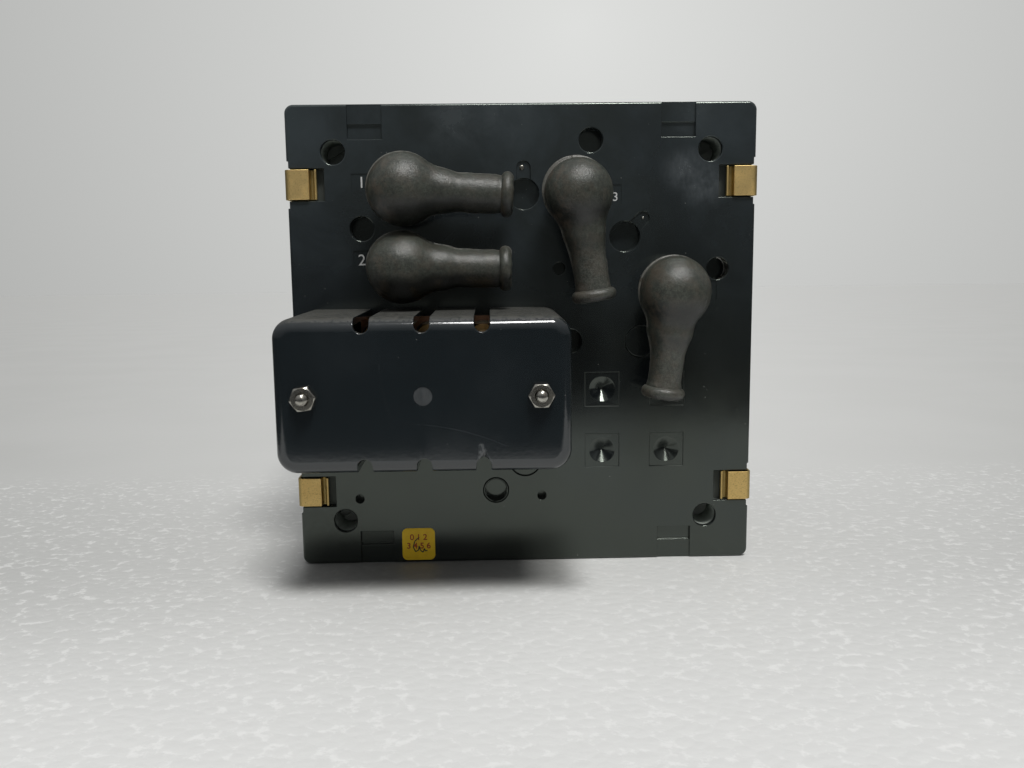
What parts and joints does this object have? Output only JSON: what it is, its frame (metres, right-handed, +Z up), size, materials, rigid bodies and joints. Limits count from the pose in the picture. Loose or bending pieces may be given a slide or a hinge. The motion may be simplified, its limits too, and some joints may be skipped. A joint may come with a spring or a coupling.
{
  "type": "panel instrument",
  "caption": "Square panel-mounting pointer instrument seen from its back: moulded base with booted screw terminals, a slotted terminal cover and brass spring clips.",
  "frame": {"origin": "centre of the panel cut-out, on the plane of the back of the bezel", "axes": "+X right as seen from behind, +Y out of the dial, +Z up"},
  "size_m": [0.144, 0.1506, 0.144],
  "materials": {
    "rear_moulding": "black phenolic moulding, glossy, with fine scratches and dust",
    "cover_moulding": "blue-black glossy moulding with scratches, dusty on top",
    "case_moulding": "black moulded plastic with a fine grain",
    "bezel_moulding": "black satin plastic",
    "window": "clear flat glass",
    "gasket": "dull black rubber",
    "boot_rubber": "aged grey-black rubber, dusty, rubbed on the necks",
    "clip_brass": "tarnished sheet brass, mottled brown",
    "terminal_brass": "turned brass, lightly tarnished",
    "nickel": "nickel-plated, dull, with brown grime",
    "screw_steel": "plain zinc-plated steel",
    "copper": "tarnished copper",
    "winding": "varnished copper winding",
    "sticker": "yellow paper sticker, satin",
    "chassis": "plain aluminium sheet",
    "board": "green glass-fibre board",
    "board_parts": "grey moulded components",
    "dial": "white painted sheet with a printed scale",
    "magnet": "grey ground iron",
    "bridge_brass": "bright stamped brass",
    "jewel": "brass jewel screw",
    "pointer_black": "matt black paint",
    "hairspring": "bronze strip"
  },
  "bodies": {
    "case": {"rear_base": "rear_moulding", "front_case": "case_moulding", "glass_retainer": "case_moulding", "bezel_frame": "bezel_moulding", "pivot_cap": "bezel_moulding", "front_glass": "window", "glass_gasket": "gasket", "thread_insert": "terminal_brass", "current_studs": "terminal_brass", "current_nuts": "terminal_brass", "voltage_studs": "terminal_brass", "voltage_nuts": "terminal_brass", "board_spacers": "terminal_brass", "cover_studs": "nickel", "current_washers": "nickel", "voltage_washers": "nickel", "case_screws": "screw_steel", "chassis_screws": "screw_steel", "board_screws": "screw_steel", "dial_screws": "screw_steel", "dial_posts": "screw_steel", "yoke_posts": "screw_steel", "current_plates": "copper", "current_links": "copper", "current_transformers": "winding", "test_sticker": "sticker", "chassis_plate": "chassis", "circuit_board": "board", "board_parts": "board_parts", "dial_plate": "dial", "yoke_ring": "magnet", "magnet_core": "magnet", "front_bridge": "bridge_brass", "rear_bridge": "bridge_brass", "front_jewel": "jewel", "rear_jewel": "jewel", "front_hairspring": "hairspring", "rear_hairspring": "hairspring"},
    "moving_system": {"moving_coil": "winding", "pivot_shafts": "screw_steel", "pointer": "pointer_black", "balance_weights": "terminal_brass"},
    "zero_adjuster": {"zero_adjuster": "case_moulding"},
    "zero_lever": {"zero_lever": "bridge_brass"},
    "cover": {"terminal_cover": "cover_moulding"},
    "cover_nut_left": {"cover_nut_left": "nickel"},
    "cover_nut_right": {"cover_nut_right": "nickel"},
    "boot_1": {"boot_1": "boot_rubber"},
    "boot_2": {"boot_2": "boot_rubber"},
    "boot_3": {"boot_3": "boot_rubber"},
    "boot_4": {"boot_4": "boot_rubber"},
    "clip_top_left": {"clip_top_left": "clip_brass"},
    "clip_top_right": {"clip_top_right": "clip_brass"},
    "clip_bottom_left": {"clip_bottom_left": "clip_brass"},
    "clip_bottom_right": {"clip_bottom_right": "clip_brass"}
  },
  "joints": [
    {"name": "pointer_swing", "type": "hinge", "parent": "case", "child": "moving_system", "pos_m": [-0.042, -0.023, -0.042], "axis": [0, -1, 0], "range_deg": [0, 90], "stiffness_Nm_per_rad": 0.0005},
    {"name": "zero_adjuster_turn", "type": "hinge", "parent": "case", "child": "zero_adjuster", "pos_m": [-0.016, 0.004, -0.05], "axis": [0, 1, 0], "range_deg": [-30, 30]},
    {"name": "zero_lever_turn", "type": "hinge", "parent": "case", "child": "zero_lever", "pos_m": [-0.042, -0.005, -0.042], "axis": [0, 1, 0], "range_deg": [-2.1, 2.1]},
    {"name": "cover_lift", "type": "slide", "parent": "case", "child": "cover", "axis": [0, -1, 0], "range_m": [0, 0.05]},
    {"name": "cover_nut_left_spin", "type": "hinge", "parent": "cover", "child": "cover_nut_left", "pos_m": [-0.0583, -0.1392, -0.0108], "axis": [0, -1, 0], "continuous": true},
    {"name": "cover_nut_right_spin", "type": "hinge", "parent": "cover", "child": "cover_nut_right", "pos_m": [0.0029, -0.1392, -0.0108], "axis": [0, -1, 0], "continuous": true},
    {"name": "boot_1_pull", "type": "slide", "parent": "case", "child": "boot_1", "axis": [0, -1, 0], "range_m": [0, 0.03]},
    {"name": "boot_2_pull", "type": "slide", "parent": "case", "child": "boot_2", "axis": [0, -1, 0], "range_m": [0, 0.03]},
    {"name": "boot_3_pull", "type": "slide", "parent": "case", "child": "boot_3", "axis": [0, -1, 0], "range_m": [0, 0.03]},
    {"name": "boot_4_pull", "type": "slide", "parent": "case", "child": "boot_4", "axis": [0, -1, 0], "range_m": [0, 0.03]},
    {"name": "clip_top_left_release", "type": "hinge", "parent": "case", "child": "clip_top_left", "pos_m": [-0.0681, -0.07, 0.0458], "axis": [0, 0, -1], "range_deg": [0, 25], "stiffness_Nm_per_rad": 0.05},
    {"name": "clip_top_right_release", "type": "hinge", "parent": "case", "child": "clip_top_right", "pos_m": [0.0681, -0.07, 0.0458], "axis": [0, 0, 1], "range_deg": [0, 25], "stiffness_Nm_per_rad": 0.05},
    {"name": "clip_bottom_left_release", "type": "hinge", "parent": "case", "child": "clip_bottom_left", "pos_m": [-0.0681, -0.07, -0.0458], "axis": [0, 0, -1], "range_deg": [0, 25], "stiffness_Nm_per_rad": 0.05},
    {"name": "clip_bottom_right_release", "type": "hinge", "parent": "case", "child": "clip_bottom_right", "pos_m": [0.0681, -0.07, -0.0458], "axis": [0, 0, 1], "range_deg": [0, 25], "stiffness_Nm_per_rad": 0.05}
  ],
  "couplings": [
    {"joint": "zero_lever_turn", "follows": "zero_adjuster_turn", "ratio": 0.06849}
  ]
}
